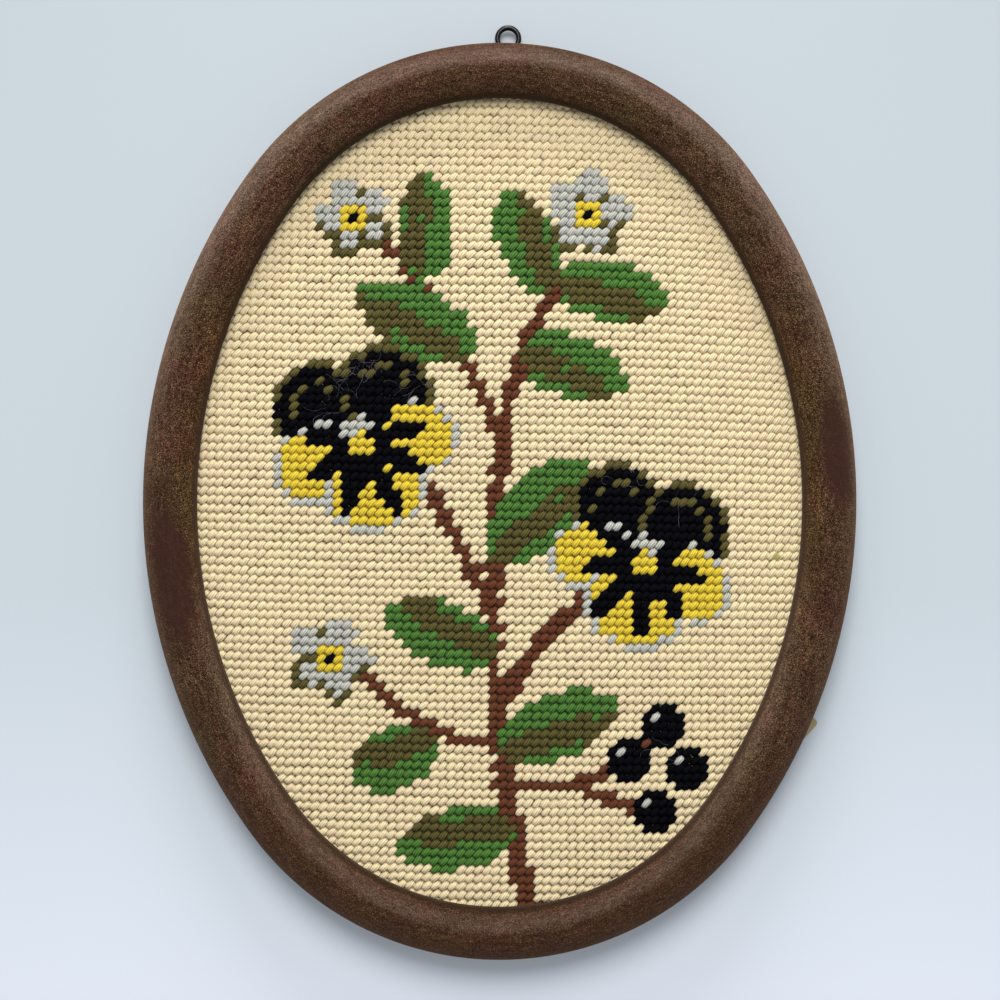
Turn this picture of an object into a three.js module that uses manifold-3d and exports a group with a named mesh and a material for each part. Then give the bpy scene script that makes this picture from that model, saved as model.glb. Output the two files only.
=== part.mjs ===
import * as THREE from 'three';
import { mergeVertices } from 'three/addons/utils/BufferGeometryUtils.js';
import Module from 'manifold-3d';

// A framed needlepoint picture, lying face up on its back.
// Millimetres. X is the picture's right, Y its top and Z comes out of its face.

// Driving dimensions of the oval, which four arcs make: one at each end and one along each side
const halfWidth = 88.9;
const halfHeight = 114.3;
const endRadius = 76.7;

// Cross-section of the moulding: insets are measured inwards from its outer wall
const bandWidth = 13.6;
const wallHeight = 8.5;
const crestHeight = 15;
const crestInset = 7.4;
const crownDepth = 4.6;
const lipHeight = 9.2;
const rebateInset = 8.8;
const backEase = 0.5;
const outerSteps = 9;
const innerSteps = 8;
const ovalSteps = 120;

// What the rebate holds, from the lip to the back
const clearance = 0.3;
const canvasThickness = 2.5;
const boardThickness = 3;
const arcSteps = 30;

// The screw eye, turned into the outer wall close to the back
const eyeAngle = THREE.MathUtils.degToRad(88.7);
const eyeHeight = 1.9;
const eyeReach = 3.05;
const eyeOuterRadius = 3.35;
const wireRadius = 0.675;
const shankLength = 7;
const shankPoint = 1.6;

// The tape strip, laid askew across the back from its outer corner
const tapeCorner = new THREE.Vector2(82.1, -55.6);
const tapeAngle = THREE.MathUtils.degToRad(138);
const tapeLength = 34;
const tapeWidth = 19;
const tapeThickness = 0.3;
const tapeLift = 0.05;
const tapeCornerRadius = 1;
const tapeBendStart = 14.2;
const tapeBendEnd = 18.5;

// Sizes that follow from those above
const sideRadius = (halfWidth ** 2 + halfHeight ** 2 - 2 * halfHeight * endRadius)
  / (2 * (halfWidth - endRadius));
const endCentre = halfHeight - endRadius;
const sideCentre = sideRadius - halfWidth;
const joinAngle = Math.atan2(endCentre, sideCentre);
const canvasTop = lipHeight - clearance;
const canvasBase = canvasTop - canvasThickness;
const boardTop = canvasBase - clearance;
const boardBase = boardTop - boardThickness;

const wasm = await Module();
wasm.setup();

// The point of the oval whose normal has this angle, moved inwards by the inset
function ovalPoint(angle, inset) {
  const normal = new THREE.Vector2(Math.cos(angle), Math.sin(angle));
  const onEnd = Math.abs(normal.y) > Math.sin(joinAngle);
  const centre = onEnd
    ? new THREE.Vector2(0, Math.sign(normal.y) * endCentre)
    : new THREE.Vector2(-Math.sign(normal.x) * sideCentre, 0);
  const radius = onEnd ? endRadius : sideRadius;
  return centre.addScaledVector(normal, radius - inset);
}

// The oval's outline as a shape of four arcs, moved inwards by the inset
function ovalShape(inset) {
  const shape = new THREE.Shape();
  shape.absarc(-sideCentre, 0, sideRadius - inset, -joinAngle, joinAngle);
  shape.absarc(0, endCentre, endRadius - inset, joinAngle, Math.PI - joinAngle);
  shape.absarc(sideCentre, 0, sideRadius - inset, Math.PI - joinAngle, Math.PI + joinAngle);
  shape.absarc(0, -endCentre, endRadius - inset, Math.PI + joinAngle, 2 * Math.PI - joinAngle);
  return shape;
}

// A flat oval plate between two heights
function ovalPlate(inset, base, thickness) {
  const options = { depth: thickness, bevelEnabled: false, curveSegments: arcSteps };
  return new THREE.ExtrudeGeometry(ovalShape(inset), options).translate(0, 0, base);
}

function toManifold(geometry) {
  const bare = geometry.clone();
  bare.deleteAttribute('normal');
  bare.deleteAttribute('uv');
  const merged = mergeVertices(bare, 1e-4);
  return new wasm.Manifold(new wasm.Mesh({
    numProp: 3,
    vertProperties: new Float32Array(merged.attributes.position.array),
    triVerts: new Uint32Array(merged.index.array),
  }));
}

function fromManifold(solid) {
  const mesh = solid.getMesh();
  const geometry = new THREE.BufferGeometry();
  geometry.setAttribute('position', new THREE.BufferAttribute(mesh.vertProperties, 3));
  geometry.setIndex(new THREE.BufferAttribute(mesh.triVerts, 1));
  geometry.computeVertexNormals();
  return geometry;
}

function namedMesh(name, geometry, color, roughness, metalness = 0) {
  const material = new THREE.MeshStandardMaterial({ color, roughness, metalness });
  const mesh = new THREE.Mesh(geometry, material);
  mesh.name = name;
  return mesh;
}

// Closed cross-section of the moulding, as inset and height
function mouldingProfile() {
  const points = [
    new THREE.Vector2(rebateInset, 0),
    new THREE.Vector2(backEase, 0),
    new THREE.Vector2(0, backEase),
  ];
  for (let step = 0; step <= outerSteps; step += 1) {
    const turn = (step / outerSteps) * (Math.PI / 2);
    const inset = crestInset * (1 - Math.cos(turn));
    points.push(new THREE.Vector2(inset, wallHeight + (crestHeight - wallHeight) * Math.sin(turn)));
  }
  for (let step = 1; step <= innerSteps; step += 1) {
    const turn = (step / innerSteps) * (Math.PI / 2);
    const inset = crestInset + (bandWidth - crestInset) * Math.sin(turn);
    points.push(new THREE.Vector2(inset, crestHeight - crownDepth * (1 - Math.cos(turn))));
  }
  points.push(new THREE.Vector2(bandWidth, lipHeight));
  points.push(new THREE.Vector2(rebateInset, lipHeight));
  points.push(points[0].clone());
  return points;
}

// The moulding is turned as a round ring, and each point then moves out to the oval
function mouldingGeometry() {
  const profile = mouldingProfile().map((point) => new THREE.Vector2(endRadius - point.x, point.y));
  const ring = new THREE.LatheGeometry(profile, ovalSteps).rotateX(Math.PI / 2);
  const position = ring.attributes.position;
  for (let index = 0; index < position.count; index += 1) {
    const x = position.getX(index);
    const y = position.getY(index);
    const point = ovalPoint(Math.atan2(y, x), endRadius - Math.hypot(x, y));
    position.setXY(index, point.x, point.y);
  }
  return ring;
}

// The eye stands on the oval's normal: local Y points out of the wall, and Z is the hole's axis
function eyeMatrix() {
  const centre = ovalPoint(eyeAngle, -eyeReach);
  const turn = new THREE.Matrix4().makeRotationZ(eyeAngle - Math.PI / 2);
  return turn.setPosition(centre.x, centre.y, eyeHeight);
}

function eyeRing(growth) {
  return new THREE.TorusGeometry(eyeOuterRadius - wireRadius, wireRadius + growth, 12, 32);
}

// The shank runs from inside the ring's wire to a point, with a little room around it in the bore
function eyeShank(growth) {
  const top = -(eyeOuterRadius - wireRadius);
  const radius = wireRadius + growth;
  const profile = [
    new THREE.Vector2(0, top - shankLength - growth),
    new THREE.Vector2(radius, top - shankLength + shankPoint - growth),
    new THREE.Vector2(radius, top),
    new THREE.Vector2(0, top),
  ];
  return new THREE.LatheGeometry(profile, 16);
}

function eyeSolid(growth) {
  return toManifold(eyeRing(growth)).add(toManifold(eyeShank(growth)));
}

// Local X runs along the tape from its outer end, and local Y lies across it
function tapeMatrix() {
  const turn = new THREE.Matrix4().makeRotationZ(tapeAngle);
  return turn.setPosition(tapeCorner.x, tapeCorner.y, 0);
}

// The tape's outline seen from above, with its corners rounded
function tapePlan(growth, height) {
  const radius = tapeCornerRadius + growth;
  const near = -growth;
  const far = tapeLength + growth;
  const side = tapeWidth + growth;
  const shape = new THREE.Shape();
  shape.absarc(far - radius, near + radius, radius, -Math.PI / 2, 0);
  shape.absarc(far - radius, side - radius, radius, 0, Math.PI / 2);
  shape.absarc(near + radius, side - radius, radius, Math.PI / 2, Math.PI);
  shape.absarc(near + radius, near + radius, radius, Math.PI, Math.PI * 1.5);
  const options = { depth: height, bevelEnabled: false, curveSegments: 6 };
  return new THREE.ExtrudeGeometry(shape, options);
}

// The tape lies flat over the frame's back, then rises on to the back of the card
function tapeSolid() {
  const rise = boardBase - clearance - tapeThickness - tapeLift;
  const bend = new THREE.CubicBezierCurve(
    new THREE.Vector2(tapeBendStart, 0),
    new THREE.Vector2((tapeBendStart + tapeBendEnd) / 2, 0),
    new THREE.Vector2((tapeBendStart + tapeBendEnd) / 2, rise),
    new THREE.Vector2(tapeBendEnd, rise),
  );
  const start = new THREE.Vector2(-1, 0);
  const end = new THREE.Vector2(tapeLength + 1, rise);
  const lower = [start, ...bend.getPoints(8), end];
  const upper = lower.map((point) => new THREE.Vector2(point.x, point.y + tapeThickness)).reverse();
  const options = { depth: tapeWidth + 2, bevelEnabled: false };
  const ribbon = new THREE.ExtrudeGeometry(new THREE.Shape([...lower, ...upper]), options)
    .rotateX(Math.PI / 2)
    .translate(0, tapeWidth + 1, tapeLift);
  return toManifold(ribbon).intersect(toManifold(tapePlan(0, boardBase)));
}

function frameSolid() {
  const eyeRoom = fromManifold(eyeSolid(clearance)).applyMatrix4(eyeMatrix());
  const tapeBed = tapePlan(clearance, 1 + tapeLift + tapeThickness + clearance)
    .translate(0, 0, -1)
    .applyMatrix4(tapeMatrix());
  return toManifold(mouldingGeometry()).subtract(toManifold(eyeRoom)).subtract(toManifold(tapeBed));
}

function placed(mesh, matrix) {
  mesh.applyMatrix4(matrix);
  return mesh;
}

const frame = namedMesh('frame', fromManifold(frameSolid()), 0x4a3226, 0.95);
const needlepoint = namedMesh(
  'needlepoint', ovalPlate(rebateInset + clearance, canvasBase, canvasThickness), 0xd9c49a, 0.95);
const backingBoard = namedMesh(
  'backing_board', ovalPlate(rebateInset + clearance, boardBase, boardThickness), 0xb09a78, 0.9);
const tapeStrip = placed(
  namedMesh('tape_strip', fromManifold(tapeSolid()), 0xa5966e, 0.7), tapeMatrix());
const screwEye = placed(
  namedMesh('screw_eye', fromManifold(eyeSolid(0)), 0x101216, 0.25, 0.8), eyeMatrix());

// The origin lies under the middle of the whole, eye included
const eyeTop = ovalPoint(eyeAngle, -eyeReach).y + eyeOuterRadius;
const picture = new THREE.Group();
picture.position.y = (halfHeight - eyeTop) / 2;
picture.add(frame, needlepoint, backingBoard, tapeStrip, screwEye);

export default picture;
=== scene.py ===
import bpy
import bmesh
import math
import random
import numpy as np
from mathutils import Matrix, Vector


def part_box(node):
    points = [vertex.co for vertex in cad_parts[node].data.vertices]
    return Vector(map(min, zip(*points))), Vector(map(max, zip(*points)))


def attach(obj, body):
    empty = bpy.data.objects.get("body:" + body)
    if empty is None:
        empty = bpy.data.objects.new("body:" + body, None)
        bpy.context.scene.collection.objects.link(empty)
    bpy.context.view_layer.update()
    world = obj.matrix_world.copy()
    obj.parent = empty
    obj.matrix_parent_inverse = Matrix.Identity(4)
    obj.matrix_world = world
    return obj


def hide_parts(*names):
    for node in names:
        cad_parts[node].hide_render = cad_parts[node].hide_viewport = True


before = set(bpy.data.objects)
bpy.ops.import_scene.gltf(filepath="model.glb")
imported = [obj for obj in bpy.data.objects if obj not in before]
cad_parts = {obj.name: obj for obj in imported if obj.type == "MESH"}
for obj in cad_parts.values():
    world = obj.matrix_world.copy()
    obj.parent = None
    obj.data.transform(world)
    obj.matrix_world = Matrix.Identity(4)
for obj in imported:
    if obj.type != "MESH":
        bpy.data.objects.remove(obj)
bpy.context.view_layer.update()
mm = 0.001

# The oval that every piece follows: end arcs above and below, flatter arcs at the sides
frameLow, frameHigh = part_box("frame")
halfWidth = (frameHigh.x - frameLow.x) / 2
halfHeight = (frameHigh.y - frameLow.y) / 2
ovalCentre = Vector(((frameLow.x + frameHigh.x) / 2, (frameLow.y + frameHigh.y) / 2, 0))
endRadius = 76.7 * mm
sideRadius = (halfWidth**2 + halfHeight**2 - 2 * halfHeight * endRadius) / (2 * (halfWidth - endRadius))
endCentre = halfHeight - endRadius
sideCentre = sideRadius - halfWidth
joinAngle = math.atan2(endCentre, sideCentre)


# The point of the oval whose normal has this angle, moved inwards by the inset
def ovalPoint(angle, inset):
    normal = Vector((math.cos(angle), math.sin(angle), 0))
    if abs(normal.y) > math.sin(joinAngle):
        arcCentre = Vector((0, math.copysign(endCentre, normal.y), 0))
        return ovalCentre + arcCentre + normal * (endRadius - inset)
    arcCentre = Vector((-math.copysign(sideCentre, normal.x), 0, 0))
    return ovalCentre + arcCentre + normal * (sideRadius - inset)


# How far points lie inside the oval, and the angle of the normal there
def insetsAt(x, y):
    x = np.asarray(x) - ovalCentre.x
    y = np.asarray(y) - ovalCentre.y
    endAngle = np.arctan2(np.abs(y) - endCentre, np.abs(x))
    sideAngle = np.arctan2(np.abs(y), np.abs(x) + sideCentre)
    onEnd = endAngle > joinAngle
    fromEnd = endRadius - np.hypot(x, np.abs(y) - endCentre)
    fromSide = sideRadius - np.hypot(np.abs(x) + sideCentre, y)
    angle = np.where(onEnd, endAngle, sideAngle)
    angle = np.where(x < 0, np.pi - angle, angle)
    return np.where(onEnd, fromEnd, fromSide), np.where(y < 0, -angle, angle)


# Spins open profile edges round the four arc centres, from the lower right join back to it
def spinOval(bm, profile, sideSteps, endSteps):
    sideSweep = 2 * joinAngle
    arcs = [
        (Vector((-sideCentre, 0, 0)), sideSweep, sideSteps),
        (Vector((0, endCentre, 0)), math.pi - sideSweep, endSteps),
        (Vector((sideCentre, 0, 0)), sideSweep, sideSteps),
        (Vector((0, -endCentre, 0)), math.pi - sideSweep, endSteps),
    ]
    for centre, sweep, steps in arcs:
        swept = bmesh.ops.spin(bm, geom=profile, cent=ovalCentre + centre, axis=(0, 0, 1), angle=sweep,
                               steps=steps)
        profile = swept["geom_last"]
    bmesh.ops.remove_doubles(bm, verts=bm.verts, dist=0.02 * mm)
    bmesh.ops.recalc_face_normals(bm, faces=bm.faces)


def meshFrom(name, bm):
    mesh = bpy.data.meshes.new(name)
    bm.to_mesh(mesh)
    bm.free()
    return mesh


def newObject(name, data):
    made = bpy.data.objects.new(name, data)
    bpy.context.collection.objects.link(made)
    return made


# Makes a piece of a mesh, smooth except at its sharp edges
def addPiece(name, mesh, material, sharp=35):
    piece = newObject(name, mesh)
    mesh.materials.append(material)
    mesh.shade_smooth()
    mesh.set_sharp_from_angle(angle=math.radians(sharp))
    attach(piece, "root")
    return piece


def makePiece(name, bm, material, sharp=35):
    return addPiece(name, meshFrom(name, bm), material, sharp)


def quarterTurn(bm, verts, axis, way=1):
    bmesh.ops.rotate(bm, verts=verts, cent=(0, 0, 0), matrix=Matrix.Rotation(way * math.pi / 2, 3, axis))


# Cuts one mesh out of a piece and throws the cutter away
def cutAway(piece, bm):
    mesh = meshFrom("cutter", bm)
    cutter = newObject("cutter", mesh)
    modifier = piece.modifiers.new("cut", "BOOLEAN")
    modifier.operation = "DIFFERENCE"
    modifier.solver = "EXACT"
    modifier.object = cutter
    with bpy.context.temp_override(object=piece, active_object=piece, selected_objects=[piece]):
        bpy.ops.object.modifier_apply(modifier=modifier.name)
    bpy.data.objects.remove(cutter)
    bpy.data.meshes.remove(mesh)


# Short helpers for materials
def newMaterial(name, roughness, **settings):
    material = bpy.data.materials.new(name)
    material.use_nodes = True
    shader = material.node_tree.nodes["Principled BSDF"]
    shader.inputs["Roughness"].default_value = roughness
    for socket, value in settings.items():
        shader.inputs[socket.replace("_", " ")].default_value = value
    return material, material.node_tree, shader


def addNode(tree, kind, inputs=None, **settings):
    node = tree.nodes.new(kind)
    for key, value in settings.items():
        setattr(node, key, value)
    for socket, value in (inputs or {}).items():
        if isinstance(value, bpy.types.NodeSocket):
            tree.links.new(value, node.inputs[socket])
        else:
            node.inputs[socket].default_value = value
    return node


def mathNode(tree, operation, first, second=0.0, third=0.0, clamp=False):
    return addNode(tree, "ShaderNodeMath", {0: first, 1: second, 2: third},
                   operation=operation, use_clamp=clamp).outputs[0]


def mixColour(tree, factor, first, second, blend="MIX"):
    return addNode(tree, "ShaderNodeMix", {0: factor, 6: first, 7: second}, data_type="RGBA",
                   blend_type=blend).outputs[2]


def noiseNode(tree, vector, scale, detail=2.0, rough=0.5):
    return addNode(tree, "ShaderNodeTexNoise",
                   {"Vector": vector, "Scale": scale, "Detail": detail, "Roughness": rough}).outputs[0]


def spread(tree, value, low, high):
    return addNode(tree, "ShaderNodeMapRange",
                   {"Value": value, "From Min": low, "From Max": high}).outputs[0]


def addBump(tree, shader, height, distance, strength=1.0):
    bump = addNode(tree, "ShaderNodeBump", {"Height": height, "Distance": distance, "Strength": strength})
    tree.links.new(bump.outputs[0], shader.inputs["Normal"])


def objectCoordinates(tree):
    return addNode(tree, "ShaderNodeTexCoord").outputs["Object"]


def attributeNode(tree, name, output="Fac"):
    return addNode(tree, "ShaderNodeAttribute", attribute_name=name).outputs[output]


# A noise or a chance between 0 and 1, moved to lie about 0
def centred(tree, value):
    return mathNode(tree, "SUBTRACT", value, 0.5)


def tinted(tree, colour, hue):
    return mixColour(tree, 1.0, colour, hue, "MULTIPLY")


def dimmed(tree, colour, factor):
    return addNode(tree, "ShaderNodeVectorMath", {0: colour, 1: factor}, operation="MULTIPLY").outputs[0]


def newGroup(name, inputs, outputs):
    group = bpy.data.node_groups.new(name, "ShaderNodeTree")
    for label, kind, value in inputs:
        socket = group.interface.new_socket(label, in_out="INPUT", socket_type=kind)
        if value is not None:
            socket.default_value = value
    for label, kind in outputs:
        group.interface.new_socket(label, in_out="OUTPUT", socket_type=kind)
    entry = group.nodes.new("NodeGroupInput")
    leave = group.nodes.new("NodeGroupOutput")
    return group, entry.outputs, leave.inputs


def placeGroup(tree, group, inputs):
    return addNode(tree, "ShaderNodeGroup", inputs, node_tree=group).outputs


print("scene: the camera and the light")

photoView = {
    "scale": 4.0216,            # pixels a millimetre, at the moulding's shoulder
    "distance": 360 * mm,
    "shoulder": 10 * mm,        # height that the distance is measured from
    "lean": 2.2,                # degrees off the face's normal, towards the picture's top
    "roll": 0.15,
    "centrePixel": (499.67, 506.85),
    "imageSize": 1000,
    "sensor": 36,               # millimetres
}


def makeCamera():
    data = bpy.data.cameras.new("camera")
    camera = newObject("camera", data)
    bpy.context.scene.camera = camera
    data.sensor_width = photoView["sensor"]
    distance = photoView["distance"] / mm
    size = photoView["imageSize"]
    data.lens = photoView["sensor"] * photoView["scale"] * distance / size
    data.shift_x = (size / 2 - photoView["centrePixel"][0]) / size
    data.shift_y = (photoView["centrePixel"][1] - size / 2) / size
    lean = Matrix.Rotation(math.radians(-photoView["lean"]), 4, "X")
    roll = Matrix.Rotation(math.radians(photoView["roll"]), 4, "Z")
    aim = ovalCentre + Vector((0, 0, photoView["shoulder"]))
    stand = Matrix.Translation((0, 0, photoView["distance"]))
    camera.matrix_world = Matrix.Translation(aim) @ lean @ stand @ roll
    data.clip_start = 0.01


studio = {
    "sky": ((0.95, 0.98, 1.0), 0.485),
    "window": {"size": 0.4, "power": 5.15, "at": (0.0, 0.45, 0.62), "colour": (1.0, 0.99, 0.97)},
    "skylight": {"size": 0.4, "power": 8.0, "at": (0.0, 1.05, 0.30), "colour": (1.0, 0.985, 0.97)},
    # painted light: the floor's colour runs darker towards the picture's top and lighter towards its bottom
    "floorTop": (0.381, 0.426, 0.465, 1),
    "floorMiddle": (0.484, 0.543, 0.592, 1),
    "floorBottom": (0.695, 0.745, 0.835, 1),
    "floorSize": 6,
    "floorDrop": 0.02 * mm,     # keeps the floor and the picture's back from sharing one plane
    "floorSpan": (0.128, -0.026, -0.128),       # metres up the picture, where the floor has these colours
}


def makeLight(name, size, power, at, colour):
    data = bpy.data.lights.new(name, "AREA")
    data.shape = "DISK"
    data.size = size
    data.energy = power
    data.color = colour
    light = newObject(name, data)
    light.location = at
    light.rotation_euler = Vector(at).to_track_quat("Z", "Y").to_euler()


def makeStudio():
    scene = bpy.context.scene
    scene.view_settings.view_transform = "Standard"
    world = bpy.data.worlds.new("studio")
    world.use_nodes = True
    colour, strength = studio["sky"]
    world.node_tree.nodes["Background"].inputs[0].default_value = (*colour, 1)
    world.node_tree.nodes["Background"].inputs[1].default_value = strength
    scene.world = world
    makeLight("window_light", **studio["window"])
    makeLight("top_light", **studio["skylight"])
    bm = bmesh.new()
    bmesh.ops.create_grid(bm, x_segments=1, y_segments=1, size=studio["floorSize"])
    bmesh.ops.translate(bm, verts=bm.verts, vec=(0, 0, -studio["floorDrop"]))
    floor = newObject("floor", meshFrom("floor", bm))
    material, tree, shader = newMaterial("floor_paper", 0.75)
    # Painted light: the floor is painted darker up the picture and lighter down it
    height = addNode(tree, "ShaderNodeSeparateXYZ", {0: objectCoordinates(tree)}).outputs[1]
    top, middle, bottom = studio["floorSpan"]
    colour = mixColour(tree, spread(tree, height, top, middle), studio["floorTop"], studio["floorMiddle"])
    colour = mixColour(tree, spread(tree, height, middle, bottom), colour, studio["floorBottom"])
    tree.links.new(colour, shader.inputs["Base Color"])
    floor.data.materials.append(material)


makeCamera()
makeStudio()

print("scene: the oval moulding")

moulding = {
    "bandWidth": 13.6 * mm,     # from the outer wall to the lip's edge
    "wallHeight": 8.5 * mm,
    "crestHeight": frameHigh.z,
    "crestInset": 7.4 * mm,
    "crownDepth": 4.6 * mm,     # fall from the crest to the lip's upper edge
    "lipHeight": 9.2 * mm,
    "rebateInset": 8.8 * mm,
    "backEase": 0.5 * mm,
    "lipEase": 0.35 * mm,
    "clearance": 0.3 * mm,      # between the moulding and what lies in its rebate, bed or bore
    "outerSteps": 14,
    "innerSteps": 12,
    "sideSteps": 60,
    "endSteps": 80,
}
flock = {
    "dark": (0.008, 0.0029, 0.0013, 1),
    "mid": (0.038, 0.0164, 0.0074, 1),
    "light": (0.142, 0.085, 0.050, 1),
    "darkSpan": (0.36, 0.50),           # tuft heights over which the dark pile turns to the middle colour
    "lightSpan": (0.52, 0.72),          # and the middle colour to the light one
    "red": (1.13, 0.88, 1.02, 1),       # hues that the two kinds of patch are multiplied by
    "olive": (0.95, 1.07, 0.84, 1),
    "golden": (1.03, 1.03, 0.70, 1),    # and the pile beside the lip
    "goldenMiddle": -0.02,              # metres up the picture, the middle of that golden stretch
    "goldenSpan": (0.085, 0.055),       # and how far from there it ends and is full
    "goldenAcross": (0.55, 0.95),       # shares of the band's width, over which it comes in
    "hueShare": 0.9,                    # how much the small patches of hue add to the large ones
    "hueSpan": (0.30, 0.70),
    "fleck": (0.36, 0.27, 0.17, 1),     # single pale hairs among the pile
    "fleckSpan": (0.625, 0.71),
    "flecks": 0.64,
    "dustAndPaintedLight": (0.40, 0.29, 0.235, 1),     # painted light, with dust: paler pile where the hung picture faces upwards, towards its light
    "dustAndPaintedLightSpan": (-0.50, 0.11),          # metres up the picture, over which this paler pile thickens
    "dustAndPaintedLightStart": (0.04, 0.26),          # how steeply the pile faces upwards where the paler pile begins
    "dustAndPaintedLightStop": (0.42, 0.8),            # and where it is too steep for it
    "dustAndPaintedLightShare": 0.28,
    "shade": (0.36, 0.82),              # range and lowest value of the broad light and dark clouds
    "calm": 0.34,                       # how much plainer the pile is above and below these heights
    "calmAbove": (0.085, 0.108),
    "calmBelow": (-0.050, -0.085),
    "tuftMiddle": 0.48,
    "clumps": 0.22,                     # how much the clumps of pile show
    "rubbed": (0.030, 0.0105, 0.0075, 1),
    "rubSpan": (0.28, 0.62),
    "rubShare": 0.85,                   # how much a rubbed place takes the rubbed colour
    "rubFade": 1.4,                     # how fast the rubbing fades from its middle
    "rubRagged": 0.55,                  # how ragged the edge of a rubbed place is
    "rubShine": 0.3,                    # how much smoother it is than the pile
    "rubFlat": 0.85,                    # and how much of the pile's height it has lost
    "roughness": 0.95,
    # painted shade: nearly black pile beside the lip's edge
    "lip": (0.010, 0.0055, 0.0022, 1),
    "lipShadeSpan": (0.93, 0.99),            # shares of the band's width, close to the lip, where the pile is painted darker as shade
    "sheen": (0.38, 0.235, 0.165, 1),
    "strokes": 0.35,                    # how much the brushed strokes along the band show
    "strokeStretch": 6,                 # how many times longer than wide they are
    "sway": (0.012, 0.012, 0.012),      # metres that the strokes wander
    "swayScale": 140,
    "bump": 0.35 * mm,
    "noise": {                          # scale, detail and roughness
        "pile": (2900, 3.0, 0.65),      # tufts about four tenths of a millimetre across
        "clump": (900, 2.0, 0.5),
        "stroke": (230, 3.0, 0.55),
        "fleck": (4600, 1.0, 0.5),
        "hue": (1300, 1.0, 0.5),
        "drift": (60, 3.0, 0.6),
        "shade": (110, 2.0, 0.5),
        "ragged": (320, 3.0, 0.6),
    },
}

# Where hands have rubbed the pile flat, in millimetres from the oval's middle
rubbedPlaces = [
    {"at": (-80.5, -17), "long": 24, "wide": 6.5, "depth": 1.0},
    {"at": (82.5, 14), "long": 20, "wide": 5.5, "depth": 0.9},
    {"at": (-81.5, 6), "long": 9, "wide": 3, "depth": 0.5},
    {"at": (62, -74), "long": 14, "wide": 4, "depth": 0.45},
    {"at": (-48, 90), "long": 12, "wide": 3.5, "depth": 0.4},
]


# How high each tuft stands, from the pile, its clumps and the strokes that it was brushed in
def tuftHeight(tree, place, pile, contrast):
    clump = noiseNode(tree, place, *flock["noise"]["clump"])
    tuft = mathNode(tree, "MULTIPLY_ADD", centred(tree, clump), flock["clumps"], pile)
    sway = addNode(tree, "ShaderNodeTexNoise",
                   {"Vector": place, "Scale": flock["swayScale"], "Detail": 1.0})
    lie = attributeNode(tree, "lie", "Vector")
    swayed = addNode(tree, "ShaderNodeVectorMath", {0: sway.outputs["Color"], 1: flock["sway"], 2: lie},
                     operation="MULTIPLY_ADD").outputs[0]
    stroke = noiseNode(tree, swayed, *flock["noise"]["stroke"])
    tuft = mathNode(tree, "MULTIPLY_ADD", centred(tree, stroke), flock["strokes"], tuft)
    fromMiddle = mathNode(tree, "SUBTRACT", tuft, flock["tuftMiddle"])
    return mathNode(tree, "MULTIPLY_ADD", fromMiddle, contrast, flock["tuftMiddle"])


# Reddish and olive patches, and a golden stretch beside the lip at mid height
def flockHues(tree, place, height, across, base):
    hue = centred(tree, noiseNode(tree, place, *flock["noise"]["hue"]))
    drift = noiseNode(tree, place, *flock["noise"]["drift"])
    patch = mathNode(tree, "MULTIPLY_ADD", hue, flock["hueShare"], drift)
    base = mixColour(tree, spread(tree, patch, *flock["hueSpan"]), tinted(tree, base, flock["olive"]),
                     tinted(tree, base, flock["red"]))
    away = mathNode(tree, "ABSOLUTE", mathNode(tree, "SUBTRACT", height, flock["goldenMiddle"]))
    inner = mathNode(tree, "MULTIPLY", spread(tree, across, *flock["goldenAcross"]),
                     spread(tree, away, *flock["goldenSpan"]))
    return mixColour(tree, inner, base, tinted(tree, base, flock["golden"]))


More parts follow.
